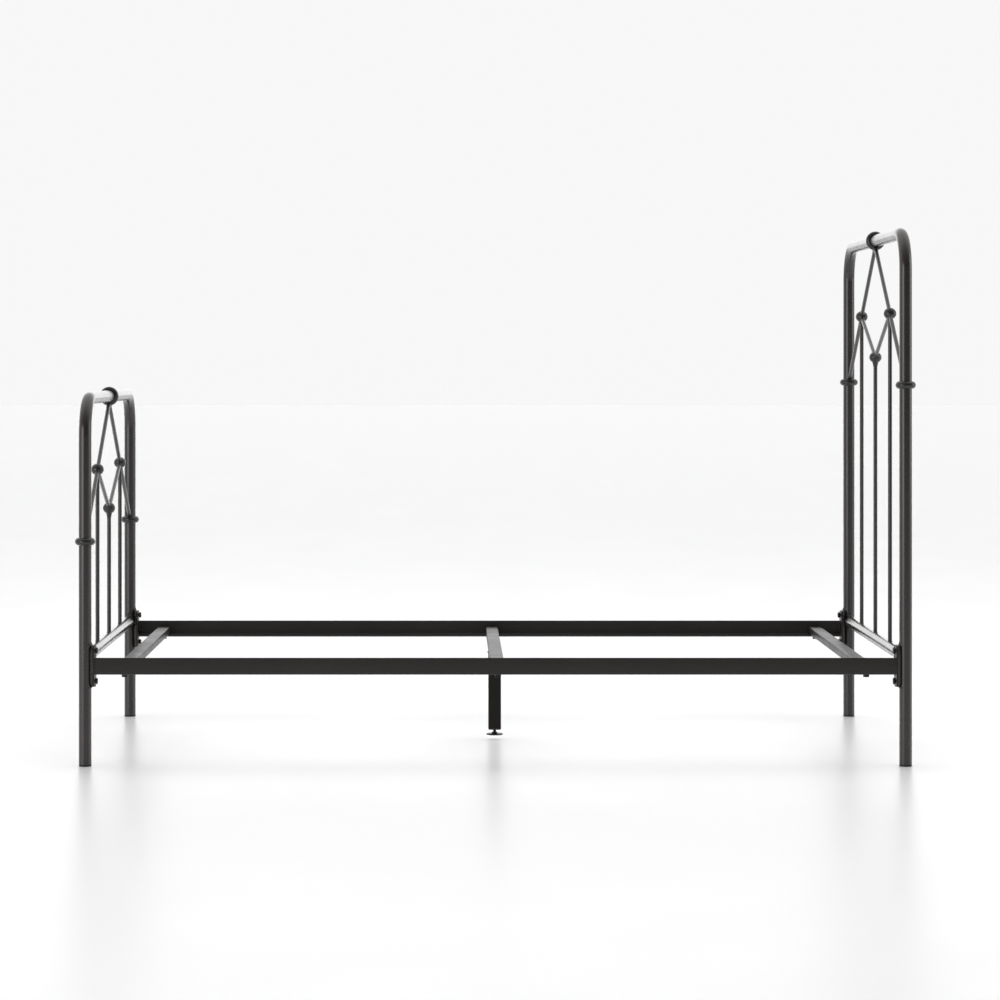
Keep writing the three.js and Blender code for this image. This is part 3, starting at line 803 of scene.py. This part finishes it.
def build_leg(slat_bottom):
    """The square centre leg, its plug, stud and levelling foot."""
    plug_low, plug_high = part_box("centre_leg_plug")
    width = plug_high.x - plug_low.x
    bore = width - 2 * LEG_WALL
    axis = Vector((middle("centre_leg_plug").x, 0, 0))
    outer_r, inner_r = 3.2 * MM, 1.4 * MM
    start, end = plug_low.z + 3.9 * MM, slat_bottom + 0.4 * MM
    outer = rounded_outline(width, width, outer_r)
    inner = rounded_outline(bore, bore, inner_r)
    # The leg tube takes the darker leg enamel, which carries painted shade.
    piece("centre_leg_tube", hollow_bar("centre_leg_tube", outer, inner, start, end, Matrix.Translation(axis)),
          "frame", LEG_ENAMEL_PAINTED_SHADE)
    # The plug: a flange with a round rim under the tube, and a stem inside it.
    rim, rim_steps, stem_gap, stem_r = 2.6 * MM, 6, 0.4 * MM, 1.2 * MM
    loops = []
    for step in range(rim_steps + 1):
        a = math.pi / 2 * step / rim_steps
        inset = rim * (1 - math.sin(a))
        loops.append([
            axis + Vector((x, y, plug_low.z + rim * (1 - math.cos(a))))
            for x, y in rounded_outline(width - 2 * inset, width - 2 * inset, outer_r - 0.4 * inset)
        ])
    loops.append([axis + Vector((x, y, start)) for x, y in outer])
    stem = rounded_outline(bore - stem_gap, bore - stem_gap, stem_r)
    loops.append([axis + Vector((x, y, start)) for x, y in stem])
    loops.append([axis + Vector((x, y, plug_high.z)) for x, y in stem])
    piece("centre_leg_plug_cap", mesh_from("centre_leg_plug_cap", *skin(loops)), "frame",
          PLASTIC, ("centre_leg_plug",))
    # A weld along each side of the tube, under the slat.
    weld_r, margin = 2.2 * MM, 2 * MM
    reach = width / 2 - margin
    corners = [(-1, -1), (1, -1), (1, 1), (-1, 1), (-1, -1)]
    for index, sides in enumerate(zip(corners, corners[1:])):
        ends = [Vector((x * reach, y * reach, slat_bottom)) for x, y in sides]
        outward = (ends[0] + ends[1]).to_2d().normalized().to_3d() * margin
        weld = weld_run(f"centre_leg_weld_{index}", axis + ends[0] + outward, axis + ends[1] + outward,
                        weld_r, index)
        piece(f"centre_leg_weld_{index}", weld, "frame", WELD)
    build_stud()
    build_foot()


def build_stud():
    """An M8 stud: rings whose radius follows the thread's helix."""
    low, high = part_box("levelling_stud")
    axis = middle("levelling_stud").to_2d().to_3d()
    major, minor = BOLT_SHANK_R - 0.02 * MM, BOLT_SHANK_R - 0.68 * MM   # radii of crest and root
    sides, per_turn = 24, 6
    rows = int((high.z - low.z) / THREAD_PITCH * per_turn)
    rings = []
    for row in range(rows + 1):
        z = low.z + (high.z - low.z) * row / rows
        ring = []
        for j in range(sides):
            phase = ((z - low.z) / THREAD_PITCH - j / sides) % 1
            crest = max(0.0, min(1.0, 1.35 - abs(phase - 0.5) * 3.4))
            ends = min(1.0, (z - low.z) / MM + 0.2, (high.z - z) / MM + 0.2)
            radius = (minor + (major - minor) * crest) * (0.85 + 0.15 * ends)
            a = 2 * math.pi * j / sides
            ring.append(axis + Vector((radius * math.cos(a), radius * math.sin(a), z)))
        rings.append(ring)
    piece("levelling_stud_thread", mesh_from("levelling_stud_thread", *skin(rings)), "stud",
          STEEL, ("levelling_stud",))


def build_foot():
    """A pressed disc with a round rim and a hub whose socket holds the stud."""
    low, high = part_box("levelling_foot")
    radius = (high.x - low.x) / 2
    rim, rim_steps, sides = 1.5 * MM, 8, 64         # the disc is two rims thick
    dish = 0.5 * MM                                 # hollow under the disc, and rise to the hub
    hub_r, flare, flare_height, flare_steps = 6.9 * MM, 1.3 * MM, 1.5 * MM, 5
    socket_r, socket_floor = 4.2 * MM, 1.6 * MM
    disc_top = low.z + 2 * rim
    profile = [(0, low.z + dish), (radius * 0.5, low.z + dish), (radius * 0.62, low.z)]
    for step in range(rim_steps + 1):
        a = -math.pi / 2 + math.pi * step / rim_steps
        profile.append((radius - rim + rim * math.cos(a), low.z + rim + rim * math.sin(a)))
    profile += [(radius * 0.55, disc_top + 0.2 * MM), (hub_r + flare, disc_top + dish)]
    for step in range(flare_steps + 1):
        a = math.pi / 2 * step / flare_steps
        profile.append((hub_r + flare * (1 - math.sin(a)), disc_top + dish + flare_height * (1 - math.cos(a))))
    profile += [(hub_r - 0.3 * MM, high.z - 0.4 * MM), (hub_r - 0.8 * MM, high.z), (socket_r, high.z),
                (socket_r, low.z + socket_floor), (0, low.z + socket_floor)]
    place = Matrix.Translation(middle("levelling_foot").to_2d().to_3d())
    piece("levelling_foot_disc", turned("levelling_foot_disc", profile, sides, place), "foot",
          STEEL, ("levelling_foot",))


# ---------------------------------------------------------------- studio
def build_floor():
    """A pale floor, a little glossy, that runs to the horizon."""
    data = bpy.data.meshes.new("floor")
    half = 60
    corners = [(-half, -half, 0), (half, -half, 0), (half, half, 0), (-half, half, 0)]
    data.from_pydata(corners, [], [(0, 1, 2, 3)])
    floor = bpy.data.objects.new("floor", data)
    bpy.context.scene.collection.objects.link(floor)
    n = Nodes("pale_floor")
    n.set("Base Color", n.mix(n.noise(0.8, 3), (0.89, 0.89, 0.895, 1), (0.915, 0.915, 0.915, 1)))
    n.set("Roughness", n.remap(n.noise(3, 4), 0.3, 0.7, 0.3, 0.34))
    data.materials.append(n.material)


def area_light(name, location, target, width, height, power, shows_in_gloss=True):
    """A rectangular light that points at a target and that the camera doesn't see."""
    light = bpy.data.lights.new(name, "AREA")
    light.shape = "RECTANGLE"
    light.size, light.size_y = width, height
    light.energy = power
    obj = bpy.data.objects.new(name, light)
    obj.location = location
    obj.rotation_euler = (Vector(target) - Vector(location)).to_track_quat("-Z", "Y").to_euler()
    obj.visible_camera = False
    obj.visible_glossy = shows_in_gloss
    bpy.context.scene.collection.objects.link(obj)


# How bright the studio is behind the camera, at its sides, behind the bed, overhead and to the camera.
FRONT_LEVEL = 0.08
SIDE_LEVEL = 0.75
BACK_LEVEL = 1.55
TOP_LEVEL = 1.0
SEEN_LEVEL = 0.935


def build_light():
    """A white studio: a bright backdrop, a softer surround, and a dimmer side where the camera stands."""
    world = bpy.data.worlds.new("studio")
    world.use_nodes = True
    tree = world.node_tree

    def node(kind, *values, **settings):
        made = tree.nodes.new(kind)
        for key, value in settings.items():
            setattr(made, key, value)
        for index, value in enumerate(values):
            if isinstance(value, bpy.types.NodeSocket):
                tree.links.new(value, made.inputs[index])
            else:
                made.inputs[index].default_value = value
        return made.outputs[0]

    def ramp(value, start, end, low, high):
        return node("ShaderNodeMapRange", value, start, end, low, high, interpolation_type="SMOOTHSTEP")

    parts = tree.nodes.new("ShaderNodeSeparateXYZ")
    tree.links.new(tree.nodes.new("ShaderNodeTexCoord").outputs["Generated"], parts.inputs[0])
    _x, depth, height = parts.outputs
    surround = ramp(depth, -0.7, 0.2, FRONT_LEVEL, SIDE_LEVEL)
    backdrop = ramp(depth, 0.80, 0.95, 0.0, BACK_LEVEL - SIDE_LEVEL)
    ceiling = ramp(height, 0.3, 0.9, 0.0, TOP_LEVEL - SIDE_LEVEL)
    total = node("ShaderNodeMath", node("ShaderNodeMath", surround, backdrop, operation="ADD"), ceiling,
                 operation="ADD")
    seen = tree.nodes.new("ShaderNodeLightPath").outputs["Is Camera Ray"]
    level = tree.nodes.new("ShaderNodeMix")
    for index, value in ((0, seen), (2, total)):
        tree.links.new(value, level.inputs[index])
    level.inputs[3].default_value = SEEN_LEVEL
    background = tree.nodes["Background"]
    background.inputs["Color"].default_value = (1, 1, 1, 1)
    tree.links.new(level.outputs[0], background.inputs["Strength"])
    bpy.context.scene.world = world
    area_light("overhead", (0.2, 0.3, 5.0), (0, 0, 0), 7, 6, 100, shows_in_gloss=False)
    area_light("left_softbox", (-5.2, -5.0, 1.6), (0, 0, 0.6), 4.4, 3.2, 100)
    area_light("right_softbox", (6.5, -0.4, 2.0), (0, 0, 0.6), 3.0, 3.0, 40)


def build_camera():
    """Level, square to the bed's left side and nearer to its foot, with the view shifted to frame it."""
    data = bpy.data.cameras.new("camera")
    data.sensor_width = 36
    data.lens = 107.6
    data.shift_x = 0.0524
    data.shift_y = -0.137
    camera = bpy.data.objects.new("camera", data)
    camera.location = (-0.113, -7.567, 0.953)
    camera.rotation_euler = (math.radians(90), 0, 0)
    data.clip_end = 200
    bpy.context.scene.collection.objects.link(camera)
    bpy.context.scene.camera = camera


build_camera()
build_light()
build_floor()
build_panel("head")
build_panel("foot")
for rail_side, rail_sign in SIDES:
    build_rail(rail_side, rail_sign)
build_slats()
bpy.context.scene.view_settings.view_transform = "Standard"
